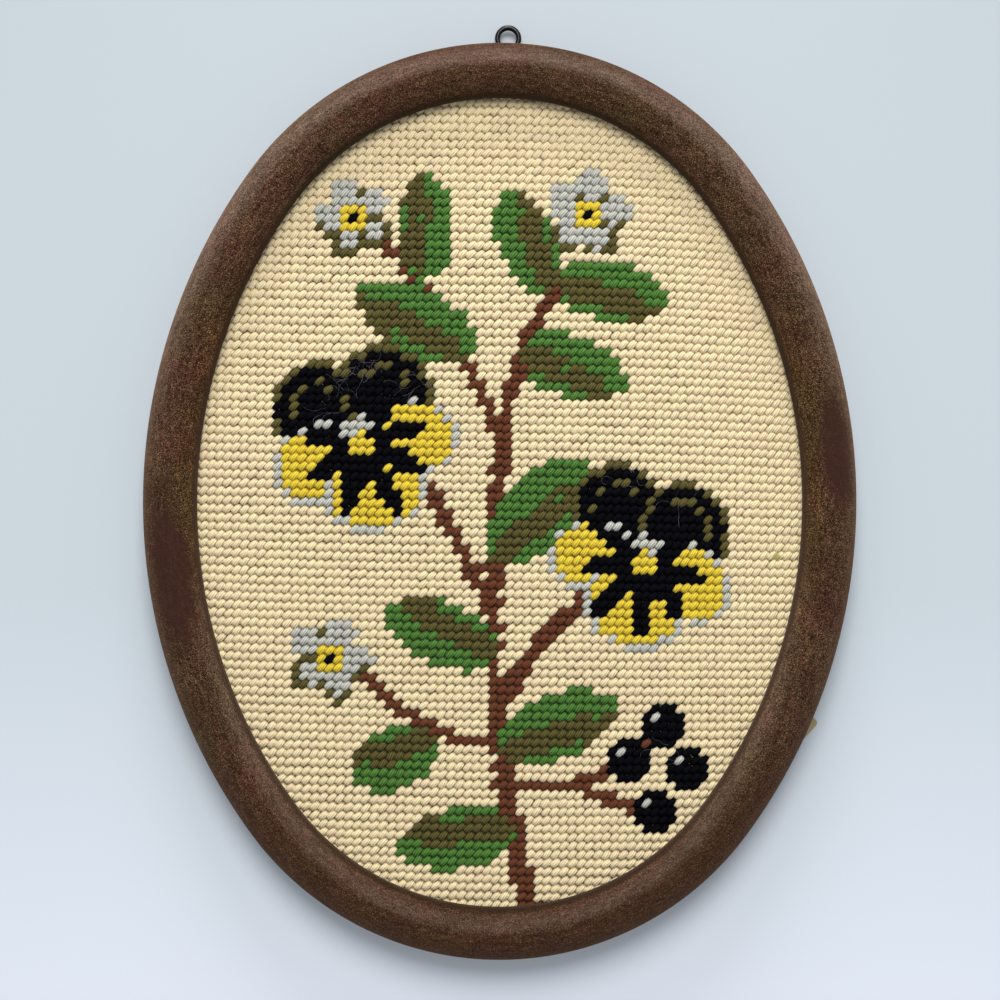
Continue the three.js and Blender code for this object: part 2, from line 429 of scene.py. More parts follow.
def flockMaterial():
    material, tree, shader = newMaterial(
        "brown_flock", flock["roughness"], Specular_IOR_Level=0.05, Sheen_Weight=0.45, Sheen_Roughness=0.5,
        Sheen_Tint=flock["sheen"])
    place = objectCoordinates(tree)
    height = addNode(tree, "ShaderNodeSeparateXYZ", {0: place}).outputs[1]
    across = attributeNode(tree, "across")
    upward = attributeNode(tree, "upward")
    pile = noiseNode(tree, place, *flock["noise"]["pile"])
    calm = mathNode(tree, "MAXIMUM", spread(tree, height, *flock["calmAbove"]),
                    spread(tree, height, *flock["calmBelow"]))
    contrast = mathNode(tree, "MULTIPLY_ADD", calm, -flock["calm"], 1.0)
    tuft = tuftHeight(tree, place, pile, contrast)
    base = mixColour(tree, spread(tree, tuft, *flock["darkSpan"]), flock["dark"], flock["mid"])
    base = mixColour(tree, spread(tree, tuft, *flock["lightSpan"]), base, flock["light"])
    speck = spread(tree, noiseNode(tree, place, *flock["noise"]["fleck"]), *flock["fleckSpan"])
    speck = mathNode(tree, "MULTIPLY", speck, mathNode(tree, "MULTIPLY", contrast, flock["flecks"]))
    base = flockHues(tree, place, height, across, mixColour(tree, speck, base, flock["fleck"]))
    shade = spread(tree, noiseNode(tree, place, *flock["noise"]["shade"]), 0.3, 0.7)
    base = dimmed(tree, base, mathNode(tree, "MULTIPLY_ADD", shade, *flock["shade"]))
    # Painted light, with some dust: the pile is paler on slopes that face the picture's top, more so higher
    # up
    litSlope = mathNode(tree, "MULTIPLY_ADD", spread(tree, upward, *flock["dustAndPaintedLightStop"]), -1.0,
                     spread(tree, upward, *flock["dustAndPaintedLightStart"]))
    dustAndPaintedLight = mathNode(tree, "MULTIPLY", litSlope, spread(tree, tuft, 0.3, 0.7))
    dustAndPaintedLight = mathNode(tree, "MULTIPLY", dustAndPaintedLight, spread(tree, height, *flock["dustAndPaintedLightSpan"]))
    base = mixColour(tree, mathNode(tree, "MULTIPLY", dustAndPaintedLight, flock["dustAndPaintedLightShare"]), base, flock["dustAndPaintedLight"])
    ragged = centred(tree, noiseNode(tree, place, *flock["noise"]["ragged"]))
    rub = mathNode(tree, "MULTIPLY_ADD", ragged, flock["rubRagged"], attributeNode(tree, "rub"))
    rub = spread(tree, rub, *flock["rubSpan"])
    base = mixColour(tree, mathNode(tree, "MULTIPLY", rub, flock["rubShare"]), base, flock["rubbed"])
    # Painted shade: the pile turns nearly black close to the lip
    base = mixColour(tree, spread(tree, across, *flock["lipShadeSpan"]), base, flock["lip"])
    tree.links.new(base, shader.inputs["Base Color"])
    rough = mathNode(tree, "MULTIPLY_ADD", rub, -flock["rubShine"], flock["roughness"])
    tree.links.new(rough, shader.inputs["Roughness"])
    pile = mathNode(tree, "MULTIPLY", pile, mathNode(tree, "MULTIPLY_ADD", rub, -flock["rubFlat"], 1.0))
    addBump(tree, shader, pile, flock["bump"], 0.8)
    return material


def mouldingProfile(bm):
    points = [(moulding["rebateInset"], 0), (moulding["backEase"], 0), (0, moulding["backEase"])]
    rise = moulding["crestHeight"] - moulding["wallHeight"]
    for step in range(moulding["outerSteps"] + 1):
        turn = step / moulding["outerSteps"] * math.pi / 2
        inset = moulding["crestInset"] * (1 - math.cos(turn))
        points.append((inset, moulding["wallHeight"] + rise * math.sin(turn)))
    run = moulding["bandWidth"] - moulding["crestInset"]
    for step in range(1, moulding["innerSteps"] + 1):
        turn = step / moulding["innerSteps"] * math.pi / 2
        fall = moulding["crownDepth"] * (1 - math.cos(turn))
        points.append((moulding["crestInset"] + run * math.sin(turn), moulding["crestHeight"] - fall))
    points.append((moulding["bandWidth"], moulding["lipHeight"] + moulding["lipEase"]))
    points.append((moulding["bandWidth"] - moulding["lipEase"], moulding["lipHeight"]))
    points.append((moulding["rebateInset"], moulding["lipHeight"]))
    verts = []
    for inset, height in points:
        spot = ovalPoint(-joinAngle, inset)
        verts.append(bm.verts.new((spot.x, spot.y, height)))
    return [bm.edges.new(pair) for pair in zip(verts, verts[1:] + verts[:1])]


# Gives every point of the moulding its place across the band, its rubbing, how far it faces the
# picture's top and where it lies along the brushed strokes
def paintMoulding(mesh):
    spots = np.empty(len(mesh.vertices) * 3, dtype=np.float32)
    mesh.vertices.foreach_get("co", spots)
    spots = spots.reshape(-1, 3)
    inset, angles = insetsAt(spots[:, 0], spots[:, 1])
    rub = np.zeros(len(spots))
    for place in rubbedPlaces:
        middle = np.array([ovalCentre.x + place["at"][0] * mm, ovalCentre.y + place["at"][1] * mm])
        away = spots[:, :2] - middle
        angle = float(insetsAt(*middle)[1])
        out = away @ np.array([math.cos(angle), math.sin(angle)])
        along = away @ np.array([-math.sin(angle), math.cos(angle)])
        reach = (out / (place["wide"] * mm)) ** 2 + (along / (place["long"] * mm)) ** 2
        rub = np.maximum(rub, place["depth"] * np.exp(-reach * flock["rubFade"]))
    normals = np.empty(len(mesh.vertices) * 3, dtype=np.float32)
    mesh.vertex_normals.foreach_get("vector", normals)
    upward = np.clip(normals[1::3], 0, 1)
    for name, values in {"across": inset / moulding["bandWidth"], "rub": rub, "upward": upward}.items():
        mesh.attributes.new(name, "FLOAT", "POINT").data.foreach_set("value", values.astype(np.float32))
    lie = np.column_stack([spots[:, 0] + inset * np.cos(angles), spots[:, 1] + inset * np.sin(angles),
                           inset * flock["strokeStretch"]])
    layer = mesh.attributes.new("lie", "FLOAT_VECTOR", "POINT")
    layer.data.foreach_set("vector", lie.astype(np.float32).ravel())


def makeMoulding():
    bm = bmesh.new()
    spinOval(bm, mouldingProfile(bm), moulding["sideSteps"], moulding["endSteps"])
    piece = makePiece("oval_moulding", bm, flockMaterial())
    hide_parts("frame")
    return piece


ovalMoulding = makeMoulding()

print("scene: the backing card and the tape")

pulp = {                        # what the card and the tape share
    "cloud": (0.62, 0.56, 0.48, 1),     # what the darker clouds are multiplied by
    "cloudSpan": (0.3, 0.75),
    "cloudScale": 0.06,         # against the scale of the fibres
    "fleckSpan": (0.58, 0.72),
}
card = {
    "ease": 0.3 * mm,           # rounding of its edges
    "colour": (0.30, 0.225, 0.145, 1),
    "fleck": (0.16, 0.11, 0.07, 1),
    "fibres": 900,
    "roughness": 0.88,
    "bump": 0.06 * mm,
}


def pulpGroup():
    group, entry, leave = newGroup(
        "pulpGrain",
        [("Place", "NodeSocketVector", None), ("Colour", "NodeSocketColor", (0.5, 0.4, 0.3, 1)),
         ("Fleck", "NodeSocketColor", (0.2, 0.15, 0.1, 1)), ("Scale", "NodeSocketFloat", 900.0)],
        [("Colour", "NodeSocketColor"), ("Height", "NodeSocketFloat")])
    fibre = noiseNode(group, entry["Place"], entry["Scale"], 4.0, 0.6)
    cloudScale = mathNode(group, "MULTIPLY", entry["Scale"], pulp["cloudScale"])
    cloud = spread(group, noiseNode(group, entry["Place"], cloudScale, 3.0, 0.55), *pulp["cloudSpan"])
    mottled = mixColour(group, cloud, entry["Colour"], pulp["cloud"], "MULTIPLY")
    flecked = mixColour(group, spread(group, fibre, *pulp["fleckSpan"]), mottled, entry["Fleck"])
    group.links.new(flecked, leave["Colour"])
    group.links.new(fibre, leave["Height"])
    return group


pulpGrain = pulpGroup()


def paperMaterial(name, sheet, **settings):
    material, tree, shader = newMaterial(name, sheet["roughness"], **settings)
    grain = placeGroup(tree, pulpGrain, {"Place": objectCoordinates(tree), "Colour": sheet["colour"],
                                         "Fleck": sheet["fleck"], "Scale": sheet["fibres"]})
    tree.links.new(grain["Colour"], shader.inputs["Base Color"])
    addBump(tree, shader, grain["Height"], sheet["bump"], 0.6)
    return material


# A flat oval plate with eased edges, made as one face that is extruded and bevelled
def ovalPlate(bm, inset, low, high, ease, steps=200):
    ring = []
    for step in range(steps):
        spot = ovalPoint(step / steps * 2 * math.pi, inset)
        ring.append(bm.verts.new((spot.x, spot.y, low)))
    face = bm.faces.new(ring)
    lifted = bmesh.ops.extrude_face_region(bm, geom=[face])["geom"]
    verts = [part for part in lifted if isinstance(part, bmesh.types.BMVert)]
    bmesh.ops.translate(bm, verts=verts, vec=(0, 0, high - low))
    rims = [edge for edge in bm.edges if abs(edge.verts[0].co.z - edge.verts[1].co.z) < 0.01 * mm]
    bmesh.ops.bevel(bm, geom=rims, offset=ease, offset_type="OFFSET", affect="EDGES", segments=3,
                    profile=0.5, material=-1)
    bmesh.ops.recalc_face_normals(bm, faces=bm.faces)


def makeCard():
    low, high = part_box("backing_board")
    bm = bmesh.new()
    ovalPlate(bm, moulding["rebateInset"] + moulding["clearance"], low.z, high.z, card["ease"])
    piece = makePiece("backing_card", bm, paperMaterial("pulp_card", card))
    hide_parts("backing_board")


tape = {
    "corner": (82.1, -55.6),    # outer corner, in millimetres from the oval's middle
    "angle": 138,               # degrees, the way it runs in from there
    "length": 34 * mm,
    "width": 19 * mm,
    "thickness": 0.22 * mm,
    "lift": 0.09 * mm,
    "cornerRadius": 1.0 * mm,
    "grid": (68, 38),
    "bend": (14.2 * mm, 18.5 * mm),
    "colour": (0.42, 0.33, 0.165, 1),
    "fleck": (0.30, 0.22, 0.10, 1),
    "fibres": 1500,
    "roughness": 0.5,
    "bump": 0.03 * mm,
    "crease": 0.05 * mm,
    "cardGap": 0.35 * mm,       # under the card
    "bedDepth": 0.65 * mm,      # of its bed in the moulding's back
}


def tapePlace():
    x, y = tape["corner"]
    return Matrix.Translation(ovalCentre + Vector((x * mm, y * mm, 0))) @ Matrix.Rotation(
        math.radians(tape["angle"]), 4, "Z")


# The strip is a grid with rounded corners, bent up on to the card and thickened
def makeTape():
    bm = bmesh.new()
    columns, rows = tape["grid"]
    bmesh.ops.create_grid(bm, x_segments=columns, y_segments=rows, size=0.5)
    radius = tape["cornerRadius"]
    start, end = tape["bend"]
    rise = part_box("backing_board")[0].z - tape["cardGap"] - tape["thickness"] - tape["lift"]
    creases = random.Random(5)
    waves = [(creases.uniform(200, 900), creases.uniform(-700, 700), creases.uniform(0, 6))
             for wave in range(7)]
    for vert in bm.verts:
        x = (vert.co.x + 0.5) * tape["length"]
        y = (vert.co.y + 0.5) * tape["width"]
        nearX = min(max(x, radius), tape["length"] - radius)
        nearY = min(max(y, radius), tape["width"] - radius)
        away = Vector((x - nearX, y - nearY))
        if away.length > radius:
            away = away.normalized() * radius
        part = min(max((x - start) / (end - start), 0), 1)
        crease = sum(math.sin(a * x + b * y + c) for a, b, c in waves) / len(waves)
        vert.co = (nearX + away.x, nearY + away.y,
                   tape["lift"] + rise * part * part * (3 - 2 * part) + tape["crease"] * crease)
    bmesh.ops.solidify(bm, geom=bm.faces, thickness=-tape["thickness"])
    bmesh.ops.transform(bm, matrix=tapePlace(), verts=bm.verts)
    bmesh.ops.recalc_face_normals(bm, faces=bm.faces)
    piece = makePiece("paper_tape", bm, paperMaterial("tan_tape", tape, Coat_Weight=0.15))
    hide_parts("tape_strip")


# The bed that the tape lies in, so that the moulding's back stays flat
def cutTapeBed():
    room = 2 * moulding["clearance"]
    depth = tape["bedDepth"]
    bm = bmesh.new()
    bmesh.ops.create_cube(bm, size=1)
    bmesh.ops.scale(bm, verts=bm.verts, vec=(tape["length"] + room, tape["width"] + room, 4 * depth))
    bmesh.ops.translate(bm, verts=bm.verts, vec=(tape["length"] / 2, tape["width"] / 2, -depth))
    bmesh.ops.transform(bm, matrix=tapePlace(), verts=bm.verts)
    cutAway(ovalMoulding, bm)


makeCard()
makeTape()
cutTapeBed()

print("scene: the screw eye")

eye = {
    "angle": 88.7,              # of the oval's normal that it stands on
    "height": 1.9 * mm,
    "reach": 3.05 * mm,         # from the wall to the ring's middle
    "outerRadius": 3.35 * mm,
    "wire": 0.675 * mm,
    "opening": 16,              # degrees that the ring's end stops short of the shank
    "shank": 7 * mm,
    "point": 1.6 * mm,
    "tip": 0.25,                # radius of the blunt tip, against the wire's
    "ringSteps": 56,
    "ringSides": 16,
    "shankSides": 20,
    "boreSides": 24,
    "seatRoom": 0.18 * mm,      # round the ring's foot, in the hollow that it has pressed
    "colour": (0.003, 0.003, 0.004, 1),
    "worn": (0.025, 0.025, 0.028, 1),
    "wornNoise": (900, 3.0, 0.6),
    "wornSpan": (0.62, 0.74),
    "roughness": 0.2,
    "wornRough": 0.25,          # how much rougher the worn enamel is
    "dimples": (1400, 2.0, 0.5),
    "bump": 0.02 * mm,
}


def enamelMaterial():
    material, tree, shader = newMaterial("black_enamel", eye["roughness"], Coat_Weight=0.1,
                                         Coat_Roughness=0.1, Specular_IOR_Level=0.16)
    place = objectCoordinates(tree)
    worn = spread(tree, noiseNode(tree, place, *eye["wornNoise"]), *eye["wornSpan"])
    rough = mathNode(tree, "MULTIPLY_ADD", worn, eye["wornRough"], eye["roughness"])
    tree.links.new(mixColour(tree, worn, eye["colour"], eye["worn"]), shader.inputs["Base Color"])
    tree.links.new(rough, shader.inputs["Roughness"])
    addBump(tree, shader, noiseNode(tree, place, *eye["dimples"]), eye["bump"], 0.4)
    return material


def eyePlace():
    spot = ovalPoint(math.radians(eye["angle"]), -eye["reach"])
    spot.z = eye["height"]
    return Matrix.Translation(spot) @ Matrix.Rotation(math.radians(eye["angle"] - 90), 4, "Z")


# The ring's wire section at its foot, before it is spun
def ringSection(bm, radius, filled):
    verts = bmesh.ops.create_circle(bm, cap_ends=filled, segments=eye["ringSides"], radius=radius)["verts"]
    quarterTurn(bm, verts, "Y")
    bmesh.ops.translate(bm, verts=verts, vec=(0, eye["wire"] - eye["outerRadius"], 0))


# A rod that hangs down from the ring's foot, past a gap, with its own radius at either end
def addRod(bm, segments, lower, upper, length, gap=0.0):
    verts = bmesh.ops.create_cone(bm, cap_ends=True, segments=segments, radius1=lower, radius2=upper,
                                  depth=length)["verts"]
    quarterTurn(bm, verts, "X", -1)
    middle = eye["wire"] - eye["outerRadius"] - gap - length / 2
    bmesh.ops.translate(bm, verts=verts, vec=(0, middle, 0))


# The wire runs once round the ring, and a straight shank with a point leaves its foot
def makeEye():
    bm = bmesh.new()
    straight = eye["shank"] - eye["point"]
    ringSection(bm, eye["wire"], True)
    bmesh.ops.spin(bm, geom=list(bm.faces), cent=(0, 0, 0), axis=(0, 0, 1), steps=eye["ringSteps"],
                   angle=math.radians(360 - eye["opening"]))
    addRod(bm, eye["shankSides"], eye["wire"] * eye["tip"], eye["wire"], eye["point"], straight)
    addRod(bm, eye["shankSides"], eye["wire"], eye["wire"], straight)
    bmesh.ops.recalc_face_normals(bm, faces=bm.faces)
    bmesh.ops.transform(bm, matrix=eyePlace(), verts=bm.verts)
    piece = makePiece("wire_eye", bm, enamelMaterial(), 50)
    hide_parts("screw_eye")


# The pilot bore and the small hollow that the ring's foot has pressed into the wall
def cutEyeSeat():
    room = moulding["clearance"]
    bm = bmesh.new()
    addRod(bm, eye["boreSides"], eye["wire"] + room, eye["wire"] + room, eye["shank"] + room)
    bmesh.ops.transform(bm, matrix=eyePlace(), verts=bm.verts)
    cutAway(ovalMoulding, bm)
    bm = bmesh.new()
    ringSection(bm, eye["wire"] + eye["seatRoom"], False)
    bmesh.ops.spin(bm, geom=bm.edges[:] + bm.verts[:], cent=(0, 0, 0), axis=(0, 0, 1),
                   steps=eye["ringSteps"], angle=2 * math.pi, use_merge=True)
    bmesh.ops.remove_doubles(bm, verts=bm.verts, dist=0.01 * mm)
    bmesh.ops.recalc_face_normals(bm, faces=bm.faces)
    bmesh.ops.transform(bm, matrix=eyePlace(), verts=bm.verts)
    cutAway(ovalMoulding, bm)


makeEye()
cutEyeSeat()
ovalMoulding.data.shade_smooth()
ovalMoulding.data.set_sharp_from_angle(angle=math.radians(35))
paintMoulding(ovalMoulding.data)

print("scene: the chart")

# The chart counts columns to the right and rows upwards from the picture's middle, one entry a stitch
stems = [
    {"start": (3, -46), "bend": (-3, -22), "end": (0, 4), "wide": 1.3, "tip": 0.8},
    {"start": (0, 4), "bend": (1, 18), "end": (9, 28), "wide": 0.9, "tip": 0.5},
    {"start": (-1, -12), "bend": (-6, -2), "end": (-12, 8), "wide": 0.9, "tip": 0.7},
    {"start": (0, -22), "bend": (5, -14), "end": (13, -8), "wide": 0.9, "tip": 0.7},
    {"start": (0, 8), "bend": (-5, 22), "end": (-14, 31), "wide": 0.7, "tip": 0.4},
    {"start": (1, -32), "bend": (9, -34), "end": (17, -27), "wide": 0.8, "tip": 0.4},
    {"start": (9, -32), "bend": (13, -34), "end": (17, -35), "wide": 0.5, "tip": 0.3},
    {"start": (0, -27), "bend": (-8, -28), "end": (-17, -19), "wide": 0.7, "tip": 0.4},
]

# Light is the side of the rib that stays green: 1 is on the left, seen from the base
leaves = [
    {"base": (1, -37), "tip": (-13, -40), "width": 7.6, "light": 1},
    {"base": (0, -28), "tip": (14, -22), "width": 7.6, "light": 1},
    {"base": (-8, -27), "tip": (-18, -32), "width": 7.2, "light": 1},
    {"base": (-1, -17), "tip": (-14, -12), "width": 7.6, "light": 1},
    {"base": (-1, -6), "tip": (11, 6), "width": 8.0, "light": 1},
    {"base": (-3, 18), "tip": (-17, 25), "width": 8.0, "light": -1},
    {"base": (-9, 26), "tip": (-8, 39), "width": 7.0, "light": -1},
    {"base": (3, 18), "tip": (16, 14), "width": 7.6, "light": 1},
    {"base": (6, 25), "tip": (1, 37), "width": 7.2, "light": 1},
    {"base": (7, 26), "tip": (21, 24), "width": 7.2, "light": 1},
]
pansies = [
    {"centre": (-16, 7), "size": 0.96, "turn": 16},
    {"centre": (17, -6), "size": 0.96, "turn": -14},
]
blossoms = [
    {"centre": (11, 34), "size": 5.3, "turn": 10},
    {"centre": (-17, 33), "size": 4.9, "turn": 40},
    {"centre": (-20, -18), "size": 5.2, "turn": 70},
]
berries = [(19, -25), (22, -30), (15, -29), (18, -35)]

# A pansy's petals, from the back one to the front one, round the flower's own middle
petals = [
    {"at": (-4.4, 5.4), "reach": (5.8, 5.4), "lean": 25, "rim": "olive", "body": "black", "heart": 0.0},
    {"at": (4.4, 5.4), "reach": (5.8, 5.4), "lean": -25, "rim": "olive", "body": "black", "heart": 0.0},
    {"at": (-6.2, -1.0), "reach": (5.6, 4.5), "lean": 20, "rim": "grey", "body": "yellow", "heart": 5.6},
    {"at": (6.2, -1.0), "reach": (5.6, 4.5), "lean": -20, "rim": "grey", "body": "yellow", "heart": 5.6},
    {"at": (0, -5.6), "reach": (6.6, 5.2), "lean": 0, "rim": "grey", "body": "yellow", "heart": 6.4},
]
leafShape = {
    "fore": 0.75,               # under 1 brings the widest part nearer the base
    "blunt": 0.7,               # lower makes the ends blunter
    "teeth": 9,
    "toothHeight": 0.25,
    "ribSlant": 1.2,            # how far the rib crosses the leaf
    "ribWidth": 0.55,
    "ribEnds": (0.06, 0.72),
    "shadeStart": -0.6,         # stitches past the rib where the dark side turns olive
    "shadeEnd": -2.3,           # and where its foot is green again
    "footEnd": 0.6,             # share of the leaf's length
}
pansyShape = {
    "rim": 0.86,                # share of a petal's reach where its rim begins
    "rays": 9,
    "rayReach": 0.4,
    "heartDrop": 0.5,
    "vein": (0.45, 0.6),        # shares of a black petal's reach that have an olive arc, in its upper part
    "veinAbove": 0.5,
    "eyeDrop": 0.4,
    "eyeReach": 1.6,
    "browRise": 2,              # a pale patch above the eye, wider than high
    "browScale": (0.8, 1.3),
    "browReach": 1.5,
}
blossomShape = {
    "petals": 5,
    "notch": 0.55,              # share of the size that is left between two petals
    "blunt": 0.6,
    "shade": 0.9,               # depth of the olive edge along the lower petals
    "gap": 0.22,                # width of the olive line between two petals
    "gapStart": 1.6,
    "eyeReach": 1.7,
}
chart = {}
unevenStem = random.Random(7)


def turned(x, y, degrees):
    angle = math.radians(degrees)
    return x * math.cos(angle) + y * math.sin(angle), y * math.cos(angle) - x * math.sin(angle)


def cellsRound(centre, reach):
    for col in range(centre[0] - reach, centre[0] + reach + 1):
        for row in range(centre[1] - reach, centre[1] + reach + 1):
            yield (col, row), col - centre[0], row - centre[1]


def chartStem(start, bend, end, wide, tip):
    steps = 60
    for step in range(steps + 1):
        part = step / steps
        col = (1 - part) ** 2 * start[0] + 2 * part * (1 - part) * bend[0] + part**2 * end[0]
        row = (1 - part) ** 2 * start[1] + 2 * part * (1 - part) * bend[1] + part**2 * end[1]
        reach = wide + (tip - wide) * part + unevenStem.uniform(-0.35, 0.35)
        for column in range(math.ceil(col - reach), math.floor(col + reach) + 1):
            chart[column, round(row)] = "brown"
        chart[round(col), round(row)] = "brown"


def chartLeaf(base, tip, width, light):
    run, rise = tip[0] - base[0], tip[1] - base[1]
    length = math.hypot(run, rise)
    for cell, x, y in cellsRound(base, 20):
        along = (x * run + y * rise) / length**2
        across = (y * run - x * rise) / length
        if not 0 <= along <= 1:
            continue
        half = width / 2 * math.sin(math.pi * along ** leafShape["fore"]) ** leafShape["blunt"]
        if abs(across) > half + leafShape["toothHeight"] * math.cos(leafShape["teeth"] * along):
            continue
        rib = (0.5 - along) * leafShape["ribSlant"]
        lit = (across - rib) * light
        foot = lit < leafShape["shadeEnd"] and along < leafShape["footEnd"]
        chart[cell] = "green" if lit > leafShape["shadeStart"] or foot else "olive"
        ribStart, ribEnd = leafShape["ribEnds"]
        if abs(across - rib) < leafShape["ribWidth"] and ribStart < along < ribEnd:
            chart[cell] = "olive"


def chartPansy(centre, size, turn):
    veinStart, veinEnd = pansyShape["vein"]
    browWide, browHigh = pansyShape["browScale"]
    for cell, x, y in cellsRound(centre, 20):
        x, y = turned(x / size, y / size, turn)
        for petal in petals:
            u, v = turned(x - petal["at"][0], y - petal["at"][1], petal["lean"])
            far = math.hypot(u / petal["reach"][0], v / petal["reach"][1])
            if far > 1:
                continue
            ray = 1 + pansyShape["rayReach"] * math.cos(pansyShape["rays"] * math.atan2(y, x))
            chart[cell] = petal["rim"] if far > pansyShape["rim"] else petal["body"]
            if math.hypot(x, y + pansyShape["heartDrop"]) < petal["heart"] * ray:
                chart[cell] = "black"
            if petal["body"] == "black" and veinStart < far < veinEnd and v > pansyShape["veinAbove"]:
                chart[cell] = "olive"
        brow = math.hypot(x * browWide, (y - pansyShape["browRise"]) * browHigh)
        if math.hypot(x, y + pansyShape["eyeDrop"]) < pansyShape["eyeReach"]:
            chart[cell] = "yellow"
        elif brow < pansyShape["browReach"]:
            chart[cell] = "grey"


def chartBlossom(centre, size, turn):
    for cell, x, y in cellsRound(centre, 9):
        far = math.hypot(x, y)
        wave = abs(math.cos(blossomShape["petals"] / 2 * (math.atan2(y, x) - math.radians(turn))))
        notch = blossomShape["notch"]
        edge = size * (notch + (1 - notch) * wave ** blossomShape["blunt"])
        if far < edge:
            shaded = far > edge - blossomShape["shade"] and y < 0
            between = wave < blossomShape["gap"] and far > blossomShape["gapStart"]
            chart[cell] = "olive" if shaded or between else "grey"
        if far < blossomShape["eyeReach"]:
            chart[cell] = "yellow"
    chart[centre] = "black"


def chartBerry(centre):
    for cell, x, y in cellsRound(centre, 3):
        if math.hypot(x, y) < 2.3:
            chart[cell] = "black"
    chart[centre[0] - 1, centre[1] + 1] = "grey"


for stem in stems:
    chartStem(**stem)
for leaf in leaves:
    chartLeaf(**leaf)
for berry in berries:
    chartBerry(berry)
for blossom in blossoms:
    chartBlossom(**blossom)
for pansy in pansies:
    chartPansy(**pansy)

print("scene: the canvas")

canvas = {
    "pitchAcross": 2.10 * mm,
    "pitchUp": 2.165 * mm,
    "spanAcross": 75 * mm,      # half the window, which the drifts below are scaled by
    "spanUp": 100 * mm,
    "stretch": (1.02, -0.015, -0.03),   # columns open out to the left and close up to the right
    "rise": (1.008, -0.015, -0.01),     # rows close up towards the top
    "narrow": (-0.024, -0.014),         # and so do columns
    "lean": -0.014,             # columns lean a little to the right as they go down
    "sag": 1.309 * mm,          # rows run down to the right
    "fan": 3.2,                 # and open like a fan on the right
    "columns": 42,              # on either side of the middle, past the lip
    "rows": 55,
    "thickness": 1.1 * mm,
    "ease": 0.2 * mm,
    "threadNoise": (1800, 3.0, 0.6),
    "bump": 0.15 * mm,
    "colour": (0.52, 0.41, 0.25, 1),
    "shadow": (0.22, 0.16, 0.09, 1),
}
unevenRows = random.Random(11)
rowWaves = [
    {"across": unevenRows.uniform(-70, 70), "up": unevenRows.uniform(-190, 190),
     "start": unevenRows.uniform(0, 2 * math.pi), "x": unevenRows.uniform(-0.09, 0.09) * mm,
     "y": unevenRows.uniform(-0.12, 0.12) * mm}
    for wave in range(9)
]


# Where the canvas's own column and row lie once it is pulled into the frame
def canvasPoint(col, row):
    u = col * canvas["pitchAcross"] / canvas["spanAcross"]
    v = row * canvas["pitchUp"] / canvas["spanUp"]
    first, second, third = canvas["stretch"]
    upFirst, upSecond, upThird = canvas["rise"]
    narrowFirst, narrowSecond = canvas["narrow"]
    y = canvas["spanUp"] * (upFirst * v + upSecond * v**2 + upThird * v**3)
    y = y - canvas["sag"] * (u + u**3 / 3 + canvas["fan"] * v * (u**2 / 2 + u**3 / 3))
    x = canvas["spanAcross"] * (first * u + second * u**2 + third * u**3)
    x = x * (1 + narrowFirst * v + narrowSecond * v**2) + canvas["lean"] * y
    ripples = [np.sin(wave["across"] * x + wave["up"] * y + wave["start"]) for wave in rowWaves]
    driftX = sum(wave["x"] * ripple for wave, ripple in zip(rowWaves, ripples))
    driftY = sum(wave["y"] * ripple for wave, ripple in zip(rowWaves, ripples))
    return ovalCentre.x + x + driftX, ovalCentre.y + y + driftY


def canvasMaterial():
    material, tree, shader = newMaterial("canvas_thread", 0.95, Specular_IOR_Level=0.15)
    place = objectCoordinates(tree)
    thread = noiseNode(tree, place, *canvas["threadNoise"])
    tree.links.new(mixColour(tree, thread, canvas["shadow"], canvas["colour"]), shader.inputs["Base Color"])
    addBump(tree, shader, thread, canvas["bump"], 0.8)
    return material


def makeCanvas():
    low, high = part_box("needlepoint")
    bm = bmesh.new()
    ovalPlate(bm, moulding["rebateInset"] + moulding["clearance"], low.z, low.z + canvas["thickness"],
              canvas["ease"])
    piece = makePiece("stitched_canvas", bm, canvasMaterial())
    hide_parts("needlepoint")
    return piece, high.z


canvasSheet, stitchTop = makeCanvas()

print("scene: the stitches")

yarn = {
    "slant": -2.0,              # degrees that a stitch stands steeper than its two holes
    "length": 3.35 * mm,
    "width": 1.94 * mm,
    "fullness": 4.6,            # higher keeps the stitch wide towards its ends
    "plump": 0.62 * mm,         # rise of its back above its middle
    "full": 1.13,               # how many times that a full stitch rises
    "room": 0.05 * mm,          # left above a full stitch
    "flatness": 0.72,           # lower makes its back flatter and its sides steeper
    "endFall": 0.72 * mm,       # how far its ends drop into their holes
    "endBend": 5.5,             # higher keeps the drop close to the ends
    "rowFall": 0.20,            # extra fall towards the row's upper and lower edge
    "sides": 8,
    "rings": 8,
    "shapes": 4,
    "underLip": 2.5 * mm,       # stitches go on this far under the lip
    "groundSplits": (-15, 18),  # rows where one piece of the ground ends and the next begins
    "shift": 0.06 * mm,         # how far stitches stray from their places
    "twist": 4,                 # degrees that they turn by chance
    "swell": 0.05,              # share by which their sizes differ
    "lift": (0.9, 1.12),        # how high the backs of the stitch shapes are
    "lean": 0.10,               # how far their middles lie to one side
    "belly": 0.45,              # depth of the underside
    "holeShade": (0.61, 0.59, 0.42, 1),     # what the shade tone is multiplied by down in the holes, as painted shade
    "warmer": (1.01, 0.992, 0.992, 1),      # the hues that stitches vary between
    "cooler": (0.992, 1.005, 0.96, 1),
    "holeSpan": (1.05, 1.5),    # millimetres from the stitch's middle, where the holes' shade comes in
    "sideSpan": (0.5, 0.85),    # and the shade along its sides
    "wander": 0.35,             # how much the strands stray
    "phases": 40,               # keeps the strands of two stitches from matching
    "depth": (0.72, 0.28),      # shares of the strands and the fuzz in how far the colour turns to the shade tone
    "strandShadeRange": (0.85, 0.15), # range and lowest value of that turn
    "fuzz": 0.8,                # height of the fuzz against the strands
    "bump": 0.15 * mm,
    "noise": {                  # scale, detail and roughness
        "wander": (700, 2.0, 0.6),
        "fuzz": (4200, 2.0, 0.7),
        "patch": (90, 1.0, 0.5),
    },
}
